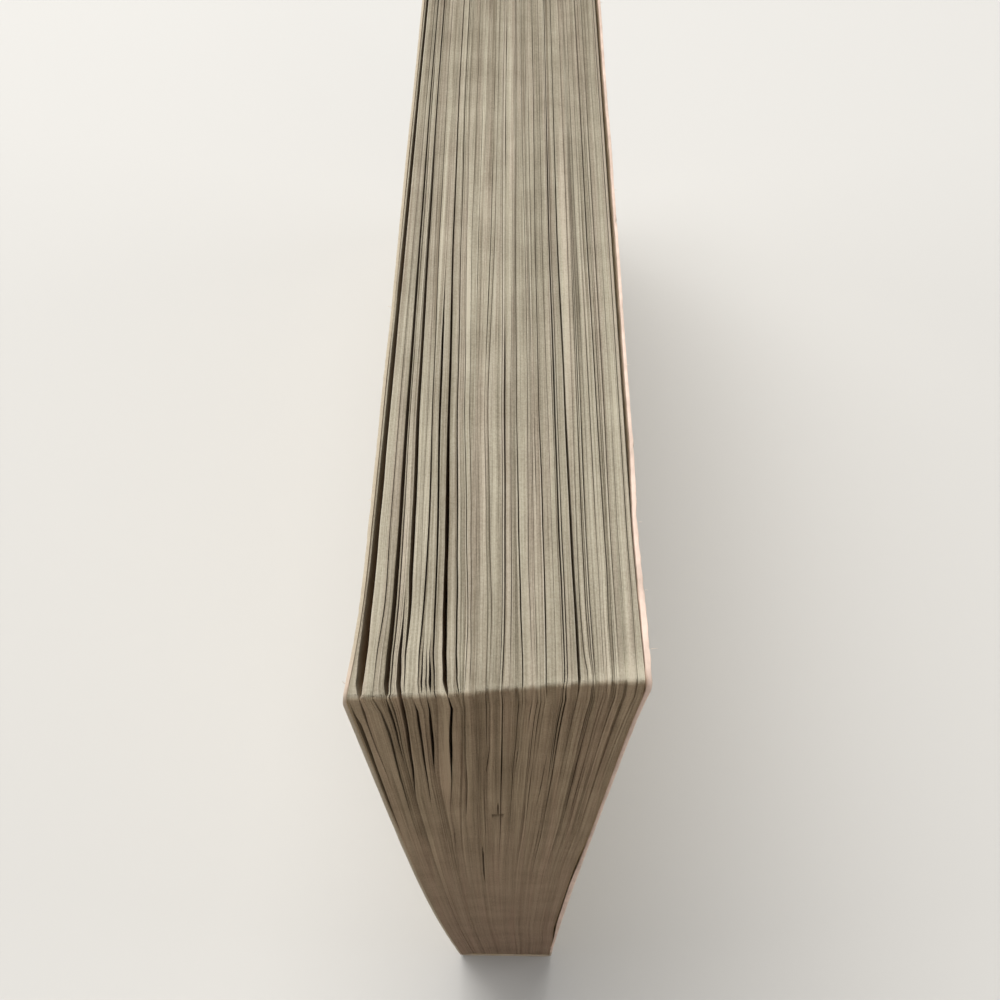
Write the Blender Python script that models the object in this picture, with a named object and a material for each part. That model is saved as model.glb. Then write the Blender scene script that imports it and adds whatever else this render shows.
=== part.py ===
"""A worn paperback that stands on its spine, with its fore-edge up.

Metres, +Z up. X runs across the thickness, from the front cover (-X) to the back
cover (+X). Y runs along the spine, from the tail (-Y) to the head (+Y). The origin
is on the surface that the book stands on, under the middle of the book.
"""
import math
import random
from collections import namedtuple

import bpy
import bmesh
from mathutils import Matrix

# Trim size and thickness
HEIGHT = 0.175               # tail to head, along the spine
WIDTH = 0.106                # spine to fore-edge
SPINE_THICKNESS = 0.0146     # over the card at the spine
FORE_EDGE_THICKNESS = 0.0224  # over the covers at the fanned fore-edge

# Materials in the binding
CARD = 0.0004                # cover card, swollen with wear
GLUE = 0.0006                # hot-melt layer on the back of the leaves
SEAT = 0.0003                # gap kept between pieces that lie on each other

# The cover's folds
SPINE_CORNER = 0.0012        # radius of the card round the spine's corners
HINGE_HEIGHT = 0.0070        # the score line above the spine, where a cover folds
HINGE_GAP = 0.0003           # free height at the score line
AXIS_OUTSIDE = 0.00015       # the fold's axis outside the card's outer face

# How the block has swollen and slipped
FRONT_SWELL = 2.6            # the front side fills out early above the spine
BACK_SWELL = 1.25            # the back side is nearly straight
TAIL_FLARE = 0.00025         # each side opens further at the tail of the fore-edge
TAIL_FLARE_LENGTH = 0.014    # length of that flare
SLIP = 0.0008                # the front leaves have slipped this far past the back ones
CORNER = 0.0008              # rounding of the worn corners of leaves and covers
EDGE_RECESS = 0.00012        # the leaves lie this far below the rims of the covers
EDGE_STEP = 0.00018          # unevenness of the leaves at the fore-edge

# Gaps between the groups of leaves. Place is the share of the fore-edge's width from the
# front cover, as seen at the tail. Widths are at the fore-edge, depth is down from it.
Gap = namedtuple("Gap", "place tail_width head_width depth")
MAIN_GAPS = (
    Gap(0.060, 0.00050, 0.00024, 0.088),
    Gap(0.134, 0.00038, 0.00020, 0.078),
    Gap(0.176, 0.00038, 0.00018, 0.080),
    Gap(0.250, 0.00024, 0.00018, 0.070),
    Gap(0.321, 0.00034, 0.00020, 0.074),
    Gap(0.360, 0.00020, 0.00016, 0.060),
    Gap(0.582, 0.00020, 0.00016, 0.056),
    Gap(0.662, 0.00020, 0.00018, 0.066),
    Gap(0.756, 0.00036, 0.00018, 0.072),
    Gap(0.886, 0.00018, 0.00024, 0.050),
    Gap(0.930, 0.00018, 0.00018, 0.046),
)
FINE_GAP_SPACING = 0.0008    # between the fine gaps that part the leaves elsewhere
FINE_GAP_WIDTH = 0.00014
FINE_GAP_DEPTH = 0.040
GAP_FOOT = 0.00010           # width at the foot of every gap, where a leaf's fold is round
GAP_OPENING = 1.4            # a gap opens slowly at its foot and faster at the fore-edge
SEED = 7

# Fineness of the curved surfaces
HEIGHT_STEPS = 6             # from the spine to the fore-edge
STRIP_STEPS = 2              # up the glued strips beside the spine
LENGTH_STEPS = 5             # along the spine
FLARE_STEPS = 2
CORNER_STEPS = 3

PAPER = ("aged_paper", (0.56, 0.49, 0.37), 0.9)
COVER_CARD = ("cover_card", (0.72, 0.66, 0.54), 0.7)
BINDING_GLUE = ("binding_glue", (0.50, 0.38, 0.22), 0.45)

FRONT, BACK = -1, 1
HALF_HEIGHT = HEIGHT / 2


def clear_scene():
    for thing in list(bpy.data.objects):
        bpy.data.objects.remove(thing, do_unlink=True)


def make_material(name, color, roughness):
    material = bpy.data.materials.new(name)
    material.use_nodes = True
    shader = material.node_tree.nodes["Principled BSDF"]
    shader.inputs["Base Color"].default_value = (*color, 1.0)
    shader.inputs["Roughness"].default_value = roughness
    shader.inputs["Metallic"].default_value = 0.0
    return material


def smooth(share):
    share = min(max(share, 0.0), 1.0)
    return share * share * (3.0 - 2.0 * share)


def outer_face(side, y, z):
    """X of the card's outer face on one side of the book."""
    up = min(max(z / WIDTH, 0.0), 1.0)
    swell = 1.0 - (1.0 - up) ** FRONT_SWELL if side == FRONT else up ** BACK_SWELL
    half = SPINE_THICKNESS / 2 + (FORE_EDGE_THICKNESS - SPINE_THICKNESS) / 2 * swell
    from_tail = (y + HALF_HEIGHT) / TAIL_FLARE_LENGTH
    half += TAIL_FLARE * (1.0 - smooth(from_tail)) * up ** 4
    if z < SPINE_CORNER:
        drop = SPINE_CORNER - z
        half -= SPINE_CORNER - math.sqrt(max(SPINE_CORNER ** 2 - drop ** 2, 0.0))
    return side * half


def slip(x, z):
    """How far a point has slipped along the spine: front leaves to the tail, back to the head."""
    across = 0.5 + x / FORE_EDGE_THICKNESS
    return SLIP * (smooth(across) - 0.5) * z / WIDTH


def corner_drop(y):
    """How far the rounded corner lies below the fore-edge at this place along it."""
    into = CORNER - (HALF_HEIGHT - abs(y))
    if into <= 0.0:
        return 0.0
    return CORNER - math.sqrt(max(CORNER ** 2 - into ** 2, 0.0))


def even_steps(low, high, count):
    """Places from low to high, both included, parted into this many even steps."""
    return [low + (high - low) * i / count for i in range(count + 1)]


def length_stations():
    """Places along the spine where the sections stand: close together round the corners."""
    corner = [CORNER * (1.0 - math.cos(math.pi / 2 * i / CORNER_STEPS)) for i in range(CORNER_STEPS)]
    flare_end = -HALF_HEIGHT + TAIL_FLARE_LENGTH
    tail = [-HALF_HEIGHT + c for c in corner]
    middle = even_steps(-HALF_HEIGHT + CORNER, flare_end, FLARE_STEPS)
    middle += even_steps(flare_end, HALF_HEIGHT - CORNER, LENGTH_STEPS)[1:]
    head = [HALF_HEIGHT - c for c in reversed(corner)]
    return tail + middle + head


def loft(name, section, material):
    """One closed solid through the same section at every station along the spine."""
    bm = bmesh.new()
    rings = []
    for y in length_stations():
        rings.append([bm.verts.new((x, y + slip(x, z), z)) for x, z in section(y)])
    for ring, following in zip(rings, rings[1:]):
        count = len(ring)
        for i in range(count):
            j = (i + 1) % count
            bm.faces.new((ring[i], ring[j], following[j], following[i]))
    ends = [bm.faces.new(rings[0]), bm.faces.new(rings[-1])]
    for end in ends:
        end.normal_update()  # ear clipping works in the plane of this normal
    bmesh.ops.triangulate(bm, faces=ends, ngon_method="EAR_CLIP")
    bmesh.ops.recalc_face_normals(bm, faces=bm.faces)
    mesh = bpy.data.meshes.new(name)
    bm.to_mesh(mesh)
    bm.free()
    mesh.materials.append(material)
    solid = bpy.data.objects.new(name, mesh)
    bpy.context.scene.collection.objects.link(solid)
    return solid


def fore_edge(y):
    return WIDTH - corner_drop(y)


def cover_section(side):
    """Section of one cover panel, from the score line up to the fore-edge."""
    foot = HINGE_HEIGHT + HINGE_GAP / 2

    def section(y):
        heights = even_steps(foot, fore_edge(y), HEIGHT_STEPS)
        outer = [(outer_face(side, y, z), z) for z in heights]
        inner = [(x - side * CARD, z) for x, z in outer]
        return outer + inner[::-1]

    return section


def spine_section(y):
    """Section of the spine panel with the two strips that are glued to the outer leaves."""
    top = HINGE_HEIGHT - HINGE_GAP / 2
    turn = [math.pi / 2 * i / CORNER_STEPS for i in range(CORNER_STEPS)]
    arc = [SPINE_CORNER * (1.0 - math.cos(angle)) for angle in turn]
    heights = arc + even_steps(SPINE_CORNER, top, STRIP_STEPS)
    inner_heights = [CARD] + [h for h in heights if h > CARD]
    front_outer = [(outer_face(FRONT, y, z), z) for z in reversed(heights)]
    back_outer = [(outer_face(BACK, y, z), z) for z in heights]
    back_inner = [(outer_face(BACK, y, z) - CARD, z) for z in reversed(inner_heights)]
    front_inner = [(outer_face(FRONT, y, z) + CARD, z) for z in inner_heights]
    return front_outer + back_outer + back_inner + front_inner


def block_side(side, y, z):
    """X of the outermost leaf on one side."""
    return outer_face(side, y, z) - side * (CARD + SEAT)


def glue_section(y):
    low = CARD + SEAT
    high = low + GLUE
    return [
        (block_side(FRONT, y, low), low),
        (block_side(BACK, y, low), low),
        (block_side(BACK, y, high), high),
        (block_side(FRONT, y, high), high),
    ]


def fine_gaps(rng):
    """Gaps of hair's width, spaced by eye between the main ones."""
    paper_width = FORE_EDGE_THICKNESS - 2 * (CARD + SEAT)
    stops = [0.0] + [gap.place for gap in MAIN_GAPS] + [1.0]
    gaps = []
    for low, high in zip(stops, stops[1:]):
        count = round((high - low) * paper_width / FINE_GAP_SPACING) - 1
        for i in range(count):
            place = low + (high - low) * (i + 1 + rng.uniform(-0.2, 0.2)) / (count + 1)
            width = FINE_GAP_WIDTH * rng.uniform(0.85, 1.25)
            depth = FINE_GAP_DEPTH * rng.uniform(0.5, 1.3)
            gaps.append(Gap(place, width, width * rng.uniform(0.85, 1.0), depth))
    return gaps


def paper_shares(gaps):
    """Share of the paper alone that lies before each gap, from its place at the tail."""
    tail_width = block_side(BACK, -HALF_HEIGHT, WIDTH) - block_side(FRONT, -HALF_HEIGHT, WIDTH)
    paper = tail_width - sum(gap.tail_width for gap in gaps)
    shares = []
    air = 0.0
    for gap in gaps:
        shares.append((gap.place * tail_width - air - gap.tail_width / 2) / paper)
        air += gap.tail_width
    return shares


def gap_width(gap, y, z):
    """Width of a gap: hair-thin at its foot, full at the fore-edge, and wider at the tail."""
    foot = WIDTH - gap.depth
    if z < foot:
        return 0.0
    along = 0.5 + y / HEIGHT
    edge = gap.tail_width + (gap.head_width - gap.tail_width) * along ** 0.7
    return GAP_FOOT + (edge - GAP_FOOT) * ((z - foot) / gap.depth) ** GAP_OPENING


def page_block_section():
    """Section of the leaves: groups joined at the spine, parted by gaps towards the fore-edge."""
    rng = random.Random(SEED)
    gaps = sorted(list(MAIN_GAPS) + fine_gaps(rng), key=lambda gap: gap.place)
    shares = paper_shares(gaps)
    lowered = [EDGE_RECESS + EDGE_STEP * rng.random() for _ in range(len(gaps) + 1)]
    low = CARD + SEAT + GLUE + SEAT
    levels = even_steps(low, WIDTH - EDGE_RECESS - EDGE_STEP, HEIGHT_STEPS)
    near = (levels[1] - levels[0]) / 4

    def wall_levels(foot, group, y):
        """Heights up one wall of a group, from a gap's foot to the group's own top."""
        inside = [z for z in levels[:-1] if z > foot + near]
        return inside + [fore_edge(y) - lowered[group]]

    def place(index, y, z, after):
        """X of one wall of a gap. after is 0 for the wall before the gap, 1 for the one past it."""
        start, end = block_side(FRONT, y, z), block_side(BACK, y, z)
        widths = [gap_width(gap, y, z) for gap in gaps]
        paper = end - start - sum(widths)
        return start + shares[index] * paper + sum(widths[:index + after])

    def section(y):
        outline = [(block_side(FRONT, y, low), low), (block_side(BACK, y, low), low)]
        outline += [(block_side(BACK, y, z), z) for z in wall_levels(low, len(gaps), y)]
        for index in reversed(range(len(gaps))):
            foot = WIDTH - gaps[index].depth
            past = [(place(index, y, z, 1), z) for z in [foot] + wall_levels(foot, index + 1, y)]
            before = [(place(index, y, z, 0), z) for z in [foot] + wall_levels(foot, index, y)]
            outline += past[::-1] + before
        outline += [(block_side(FRONT, y, z), z) for z in reversed(wall_levels(low, 0, y))]
        return outline

    return section


def hinge_axis(side):
    """X and Z of the fold line of one cover, in the middle of the book's length."""
    return outer_face(side, 0.0, HINGE_HEIGHT) + side * AXIS_OUTSIDE, HINGE_HEIGHT


def move_origin(solid, x, z):
    """Put the object's origin on its joint's axis and leave its shape where it is."""
    solid.data.transform(Matrix.Translation((-x, 0.0, -z)))
    solid.location = (x, 0.0, z)


def main():
    clear_scene()
    paper = make_material(*PAPER)
    card = make_material(*COVER_CARD)
    glue = make_material(*BINDING_GLUE)
    loft("page_block", page_block_section(), paper)
    loft("binding_glue", glue_section, glue)
    loft("spine_cover", spine_section, card)
    for name, side in (("front_cover", FRONT), ("back_cover", BACK)):
        cover = loft(name, cover_section(side), card)
        move_origin(cover, *hinge_axis(side))


main()
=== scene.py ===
"""The looks of a worn paperback that stands on its spine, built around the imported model.

Metres, +Z up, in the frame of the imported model: X from the front cover (-X) to the back
cover (+X), Y along the spine from the tail (-Y) to the head (+Y), Z from the spine up to
the fore-edge. The leaves are one closed body whose free edges run up the tail, along the
fore-edge and down the head, with a groove or an open gap between each leaf and the next.
"""
import math

import bmesh
import bpy
import numpy as np
from mathutils import Matrix, Vector


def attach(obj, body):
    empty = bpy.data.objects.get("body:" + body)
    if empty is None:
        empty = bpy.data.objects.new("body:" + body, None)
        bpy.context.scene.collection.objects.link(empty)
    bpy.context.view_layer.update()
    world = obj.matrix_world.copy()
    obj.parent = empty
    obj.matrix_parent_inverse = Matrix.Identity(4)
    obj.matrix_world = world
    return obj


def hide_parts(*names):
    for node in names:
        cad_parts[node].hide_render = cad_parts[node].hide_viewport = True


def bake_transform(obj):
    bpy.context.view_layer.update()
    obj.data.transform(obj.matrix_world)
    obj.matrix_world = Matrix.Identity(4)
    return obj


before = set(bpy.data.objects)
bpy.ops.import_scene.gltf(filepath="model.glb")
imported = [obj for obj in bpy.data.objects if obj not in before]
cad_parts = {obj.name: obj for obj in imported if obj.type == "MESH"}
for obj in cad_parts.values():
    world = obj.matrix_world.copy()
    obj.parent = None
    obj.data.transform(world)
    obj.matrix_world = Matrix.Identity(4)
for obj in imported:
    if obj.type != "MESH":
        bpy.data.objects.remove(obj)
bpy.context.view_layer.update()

MM = 0.001
SIDES = FRONT, BACK = (-1, 1)

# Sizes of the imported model
HEIGHT = 0.175
HALF_HEIGHT = HEIGHT / 2
WIDTH = 0.106
SPINE_THICKNESS = 0.0146
FORE_EDGE_THICKNESS = 0.0224
CARD = 0.0004
SPINE_CORNER = 0.0012
HINGE_HEIGHT = 0.0070
FRONT_SWELL = 2.6
BACK_SWELL = 1.25
TAIL_FLARE = {FRONT: 0.0007, BACK: 0.0003}  # the covers bend out at the tail, most at its very end
TAIL_FLARE_LENGTH = 0.014
TAIL_FLARE_BEND = {FRONT: 2.6, BACK: 1.5}
TAIL_FLARE_HEIGHT = {FRONT: 4, BACK: 30}  # powers: the back cover's bend is only at its corner
SLIP = 0.0008
LEAF_CORNER = 0.00055  # worn corner of the leaves
TAIL_SLIP = 0.00075  # the front leaves and cover lean out past the rest at the tail
TAIL_SLIP_LENGTH = 0.030

# How the leaves lie
SEED = 11
LEAVES = 160
FRONT_LEAVES = 30  # about so many leaves are worn as the front ones are
BACK_LEAVES, BACK_LEAVES_FULL = 36, 154  # and so many, up to this one, turn into the back ones
LEAF_THICKNESS = 0.11 * MM  # before the leaves are spread over the block
LEAVES_LOW = 0.00105  # foot of the leaves, on the glue
LEAST_GAP = 0.000002  # between two leaves that cling together
HAIR_GAP = 0.066 * MM  # gap between clusters of leaves, before it is varied
CLUSTER_GAP = 0.008 * MM  # and inside a cluster
LEAF_SEAT = 0.00004  # between the card and the first or last leaf
BACK_RECESS = 0.00044  # the last leaves lie this far inside the back cover at the tail
BACK_RECESS_FROM, BACK_RECESS_RISE = 0.012, 0.008  # its lowest place, and how soon it is full
BACK_RECESS_TO, BACK_RECESS_FALL = 0.072, 0.020  # its highest place
BACK_RECESS_FULL, BACK_RECESS_LENGTH = 0.004, 0.030  # full at the tail, and gone after this length
RIM_ROOM = 0.00032  # room for the back cover's frayed rim, on its inner side
RIM_ROOM_HEIGHT = 0.0024
FORE_GAP_DEPTH = 0.022  # an open gap closes this far below the fore-edge
END_GAP_DEPTH = 0.010  # and this far in from the tail or the head
FULL_DEPTH_WIDTH = 0.08 * MM  # a gap this wide has its full depth
LEAST_OPEN_GAP = 0.006 * MM
EDGE_RECESS = 0.00012  # leaves lie this far below the back cover's rim
FLUSH_LEAVES = 12  # and rise to the front cover's rim over this many leaves
LOOSE_FROM = 0.042  # the leaves lie tight together below this height
LOOSE_OVER = 0.050
FAR_CALM = 0.60  # the leaves lie closer together towards the head, and painted shade makes them darker there
FAR_FROM = 0.045
FAR_REACH = 0.040
FAR_SHADE = 0.32
FAR_SHADE_REACH = 0.060
GROOVE_SHADE = 0.50  # painted shade: how much darker a leaf is painted beside a groove
WORN_HIGHLIGHT_TONE = 0.36  # and how much lighter along the worn corner of the tail: worn paper and a painted highlight
SCALLOP = 0.00013  # each group of leaves is worn round at the tail's corner
SCALLOP_REACH = 0.8 * MM
FRONT_CORNER_WEAR = 0.00018  # and the front leaves more than the rest
CORNER_REACH = 1.4 * MM
PAGE_WAVE = 0.00003  # the outermost pages aren't quite flat

# Slow random changes along the run: the length between two knots, and the size of the change,
# which is in millimetres for what stands out and a share for widths and tones
WANDER_OF_HAIRS = (0.009, 0.55)
WANDER_OF_GAPS = (0.004, 0.06)
CLUSTERS_OUT = (0.05, 0.055)
LEAVES_OUT = (0.02, 0.020)
CORNER_OUT = (0.002, 0.07)
CLUSTER_TONES = (0.03, 0.17)
LEAF_TONES = (0.012, 0.12)

# The nick and the scratches of the tail end, in millimetres: middle across the leaves, half
# the width, lowest and highest place
DENTS = ((-0.69, 0.60, 74.85, 75.35), (-0.69, 0.10, 75.0, 79.0), (-2.4, 0.08, 52.0, 63.0),
         (5.64, 0.10, 53.0, 57.5))
DENT_DEPTH = 0.28 * MM
DENT_TONE = 0.5

# Open gaps between groups of leaves, from the front cover to the back one: places, then widths.
# Both are given for runs in millimetres along the leaves' edges from the tail's corner, less
# than 0 down the tail and more than 0 along the fore-edge. A place is the percentage of the
# leaves' width before the gap's middle, and a width is in hundredths of a millimetre.
PERCENT = 0.01
REFERENCE_RUN = 5.0 * MM  # the leaves are counted out to the groups here
OPEN_GAPS = (
    ({-40: 0.65, -24: 0.75, -17: 0.9, -9: 1.3, -5: 1.3, -2: 0.85, 5: 0.55, 205: 0.5},
     {-38: 0, -31: 12, -24: 22, -17: 28, -11: 34, -7: 36, -4: 30, -2.6: 12, -1.6: 0}),
    ({-32: 4.5, -17: 4.6, -9: 4.1, -5: 4.2, -2.3: 4.4, -1: 4.35, 0.4: 4.05, 1.4: 3.3, 3.9: 2.55, 7.3: 1.9,
      11: 1.7, 28: 1.6, 51: 1.5, 76: 1.3, 205: 1.2},
     {-20: 0, -14: 5, -9: 8, -5: 13, -2.3: 20, -1: 10, -0.3: 5, 0.1: 12, 0.5: 32, 1.4: 54, 3.9: 66,
      7.3: 60, 11: 56, 17: 50, 28: 44, 51: 36, 76: 28, 120: 20, 172: 12, 205: 2}),
    ({-29: 8.9, -18: 9.6, -7: 10.7, -3: 10.3, 0: 8.4, 4: 7.4, 8: 7.7, 15: 6.8, 40: 6, 172: 5.5},
     {-29: 0, -25: 8, -18: 16, -12: 19, -7: 21, -3.5: 16, -2: 3, 0: 1, 0.7: 2, 4: 7, 8: 8, 15: 6, 40: 4,
      172: 2}),
    ({-10: 13.1, -6: 13.6, 0.5: 13.15, 1.4: 12.4, 3.9: 11.6, 7.3: 11.2, 11: 10.8, 28: 9.7, 51: 8.8,
      76: 7.8, 172: 7},
     {-16: 0, -12: 8, -6: 16, -2: 22, -0.9: 10, -0.3: 5, 0.2: 8, 0.6: 30, 1.4: 40, 3.9: 40, 9: 34, 15: 31,
      28: 26, 51: 19, 76: 14, 172: 6}),
    ({-24: 13.7, -14: 16, -5: 17.6, -1: 18, 0.4: 17.45, 1.4: 16.45, 3.9: 15.35, 11: 14.5, 28: 12.4,
      172: 8.8},
     {-25: 0, -22: 6, -19: 15, -14: 25, -9: 31, -5: 35, -1: 33, 0.4: 36, 2.4: 37, 3.9: 27, 7: 8, 10: 0}),
    ({-24: 16, -10: 18.8, -1: 20, 0.5: 19, 1.4: 18.45, 3.9: 17.35, 7.3: 17.05, 11: 16.15, 17: 15.6,
      28: 14.1, 51: 12.8, 76: 11.6, 172: 10},
     {-1: 0, 0.3: 2, 1.2: 8, 2.4: 10, 3.9: 14, 6: 24, 11: 34, 15: 35, 28: 30, 51: 23, 76: 16, 120: 10,
      172: 6}),
    ({-27: 19.7, -17: 20.9, -6: 22.2, -2: 22.6, 5: 20.7, 20: 18.7, 60: 15.5, 172: 13},
     {-27: 0, -24: 6, -17: 14, -12: 20, -6: 23, -2.5: 20, -1.2: 8, 0: 1, 20: 3, 172: 1}),
    ({-20: 22.2, -2: 24.8, 0: 24.3, 0.6: 23.8, 1.4: 23.06, 3.9: 22.15, 7.3: 22.05, 15: 21.8, 30: 19.9,
      51: 18, 80: 16.5, 172: 15},
     {0: 2, 1.2: 6, 5: 11, 9: 13, 15: 13, 30: 8, 80: 5, 172: 3}),
    ({-20: 23.4, 0: 25.25, 0.6: 24.8, 1.4: 24.2, 3.9: 23.35, 7: 23, 30: 20.6, 172: 16},
     {0.3: 0, 0.7: 8, 1.4: 14, 3: 10, 5: 3, 7: 0}),
    ({-17: 24.3, -8: 26, -1: 27, 0.4: 26.55, 1.4: 25.75, 3.9: 24.65, 7.3: 24.1, 30: 21.4, 172: 17},
     {-17: 0, -15: 9, -12: 22, -8: 27, -4: 21, -2: 10, -1: 5, 0: 3, 0.5: 4, 1.1: 12, 2.4: 10, 4: 4,
      5.5: 0}),
    ({-20: 25.05, -8: 27.2, -1: 28.4, 0.5: 27.8, 1.4: 27.1, 3.9: 25.8, 7.3: 25.1, 30: 22.2, 172: 17.5},
     {0.3: 0, 0.7: 10, 1.3: 23, 2.2: 18, 3.6: 7, 5.5: 0}),
    ({-20: 25.8, -0.5: 29.85, 0.6: 29.1, 1.4: 28.55, 3.9: 27, 7.3: 26.2, 11: 25.75, 28: 23.2, 51: 21.1,
      76: 19.5, 172: 18},
     {-0.5: 0, 0: 6, 2.5: 14, 9: 14, 15: 16, 28: 20, 51: 15, 76: 10, 172: 5}),
    ({-46: 27.2, -35: 28.1, -29: 28, -18: 31.2, -11: 32.4, -7.8: 32.9, -6.5: 33.35, -2.6: 34.4, -1.2: 34.4,
      0.2: 33.5, 1.4: 32.15, 3.9: 30.86, 7.3: 29.86, 11: 29.25, 28: 27, 51: 24.6, 76: 23.2, 172: 21.5},
     {-43: 0, -38: 7, -35: 4, -29: 2, -23: 5, -18: 12, -10: 28, -5: 22, -2.5: 19, -0.9: 10, -0.2: 6,
      0.4: 20, 1.4: 33, 7: 35, 15: 31, 28: 22, 51: 16, 76: 11, 172: 6}),
    ({-40: 31.5, -2.6: 38.2, 0.3: 37.3, 1.4: 36.2, 3.9: 35, 7.3: 34.2, 13: 33.1, 28: 30.5, 51: 28.3,
      76: 26.5, 172: 25},
     {-0.5: 1, 0: 5, 2.5: 13, 15: 12, 28: 10, 51: 9, 172: 4}),
    ({-31: 35.2, -20: 37.3, 0: 39.2, 5: 38.6, 15: 36.3, 28: 33.5, 51: 31, 76: 29, 172: 27.5},
     {-31: 0, -28: 8, -20: 8, -14: 3, 0: 1, 3: 6, 15: 7, 51: 5, 172: 2}),
    ({-40: 38.5, 0: 41, 2.5: 40.5, 7.6: 39.2, 15: 38.1, 28: 35.6, 51: 33.5, 172: 31},
     {0: 0, 2.5: 5, 15: 6, 51: 4, 172: 2}),
    ({-19: 45.5, -11: 47.4, 0: 47.4, 6: 46.9, 15: 45.2, 28: 43.3, 51: 44.6, 172: 43},
     {-19: 0, -15: 8, -11: 2, 0: 1, 6: 5, 28: 6, 76: 4, 172: 2}),
    ({-10: 51.2, 4: 50.8, 17: 50.2, 28: 49.2, 76: 47.1, 172: 46.5},
     {-3: 0, 0: 2, 4: 6, 28: 6, 76: 5, 172: 3}),
    ({-10: 54.8, 6: 54, 30: 53, 172: 51.5},
     {0: 1, 6: 6, 30: 4, 90: 2}),
    ({-19: 57.8, -11: 58.7, 0.7: 58.7, 7.6: 57.3, 15: 56.5, 28: 55.4, 51: 54.4, 172: 53},
     {-19: 0, -14: 7, -11: 2, -0.5: 3, 0.7: 9, 7.6: 12, 15: 11, 28: 7, 76: 4, 172: 2}),
    ({-8: 61.7, 0: 62, 10: 60.4, 30: 60, 80: 56.7, 172: 56},
     {-8: 0, -5: 6, -2: 4, 0: 1, 10: 5, 80: 5, 172: 2}),
    ({-2: 67, 0.6: 66.6, 7.7: 66.3, 17: 65.8, 28: 64.7, 51: 63.7, 172: 61},
     {-2: 0, 0.6: 10, 7.7: 12, 17: 11, 28: 8, 51: 8, 172: 3}),
    ({-31: 68.8, -22: 70, -10: 70.6, 0: 70, 10: 69.5, 50: 67, 172: 65},
     {-31: 0, -22: 7, -15: 3, -12: 0, 10: 3, 50: 4, 172: 2}),
    ({-20: 73.2, -8: 72.4, -1: 72.4, 1: 72.9, 7.7: 72.5, 15: 72, 28: 71.4, 51: 70.3, 172: 69},
     {-20: 0, -14: 8, -8: 12, -1: 8, 0: 6, 1: 10, 7.7: 13, 15: 15, 28: 16, 51: 14, 76: 10, 172: 5}),
    ({-3: 77.6, 0.5: 77.9, 1.4: 77.8, 3.9: 77.6, 11: 77, 28: 75.8, 51: 74.2, 172: 72},
     {-2: 0, -1: 5, -0.3: 16, 0.5: 23, 3.9: 25, 11: 22, 28: 17, 51: 12, 76: 8, 172: 5}),
    ({-2: 80.8, 1: 80.6, 3: 79.6, 7: 78.9, 51: 79, 172: 76},
     {-2: 0, 0.8: 3, 2: 6, 5: 6, 30: 3, 51: 5, 172: 2}),
    ({-16: 84.8, 0: 84.3, 20: 84, 60: 83, 172: 82},
     {-16: 0, -8: 5, 0: 1, 20: 3, 60: 5, 172: 3}),
    ({-1: 88.8, 5: 88.9, 10: 89.6, 28: 89, 51: 88.4, 172: 87},
     {-1: 0, 1.6: 2, 5: 6, 10: 8, 28: 10, 51: 12, 76: 8, 172: 5}),
    ({-1: 91.3, 6: 91.7, 28: 92.1, 76: 91.8, 172: 91},
     {-1: 0, 1.5: 2, 6: 5, 28: 8, 76: 6, 172: 4}),
    ({-20: 96.5, 2: 97.5, 8: 98.2, 51: 98.8, 172: 98.5},
     {-20: 0, 2: 3, 8: 5, 17: 8, 51: 8, 172: 5}),
)


def smooth(share):
    share = np.clip(share, 0.0, 1.0)
    return share * share * (3.0 - 2.0 * share)


def near(distance, reach):
    """1 at no distance, falling smoothly to 0 at the reach."""
    return smooth(1.0 - distance / reach)


def bell(distance, reach):
    """1 at no distance, falling off on both sides."""
    return np.exp(-((distance / reach) ** 2))


def outer_face(side, y, z):
    """X of the card's outer face on one side of the book."""
    up = np.clip(z / WIDTH, 0.0, 1.0)
    swell = 1.0 - (1.0 - up) ** FRONT_SWELL if side == FRONT else up ** BACK_SWELL
    half = SPINE_THICKNESS / 2 + (FORE_EDGE_THICKNESS - SPINE_THICKNESS) / 2 * swell
    near_tail = np.clip(1.0 - (y + HALF_HEIGHT) / TAIL_FLARE_LENGTH, 0.0, 1.0) ** TAIL_FLARE_BEND[side]
    half = half + TAIL_FLARE[side] * near_tail * up ** TAIL_FLARE_HEIGHT[side]
    drop = np.clip(SPINE_CORNER - z, 0.0, SPINE_CORNER)
    half = half - (SPINE_CORNER - np.sqrt(SPINE_CORNER ** 2 - drop ** 2))
    return side * half


def slip(x, y, z):
    """How far a point has slipped along the spine: front leaves to the tail, back to the head."""
    share = smooth(0.5 + x / FORE_EDGE_THICKNESS)
    near_tail = near(y + HALF_HEIGHT, TAIL_SLIP_LENGTH)
    return (SLIP * (share - 0.5) - TAIL_SLIP * (1.0 - share) * near_tail) * z / WIDTH


def corner_drop(y, radius):
    """How far a rounded corner lies below the fore-edge at this place along it."""
    into = np.clip(radius - (HALF_HEIGHT - np.abs(y)), 0.0, radius)
    return radius - np.sqrt(radius ** 2 - into ** 2)


def block_side(side, y, z):
    """X of the outermost leaf on one side."""
    inside = CARD + LEAF_SEAT
    if side == BACK:
        up = smooth((z - BACK_RECESS_FROM) / BACK_RECESS_RISE)
        up = up * smooth((BACK_RECESS_TO - z) / BACK_RECESS_FALL)
        near_tail = near(y + HALF_HEIGHT - BACK_RECESS_FULL, BACK_RECESS_LENGTH)
        inside = inside + BACK_RECESS * up * near_tail + RIM_ROOM * near(WIDTH - z, RIM_ROOM_HEIGHT)
    return outer_face(side, y, z) - side * inside


def along(places, run):
    """Value at each run, from the values at some places in millimetres, with soft turns."""
    runs, values = np.array(list(places.items()), float).T
    runs = runs * MM
    index = np.clip(np.searchsorted(runs, run) - 1, 0, len(runs) - 2)
    share = np.clip((run - runs[index]) / (runs[index + 1] - runs[index]), 0.0, 1.0)
    soft = 0.5 * share + 0.5 * smooth(share)
    return values[index] * (1.0 - soft) + values[index + 1] * soft


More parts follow.
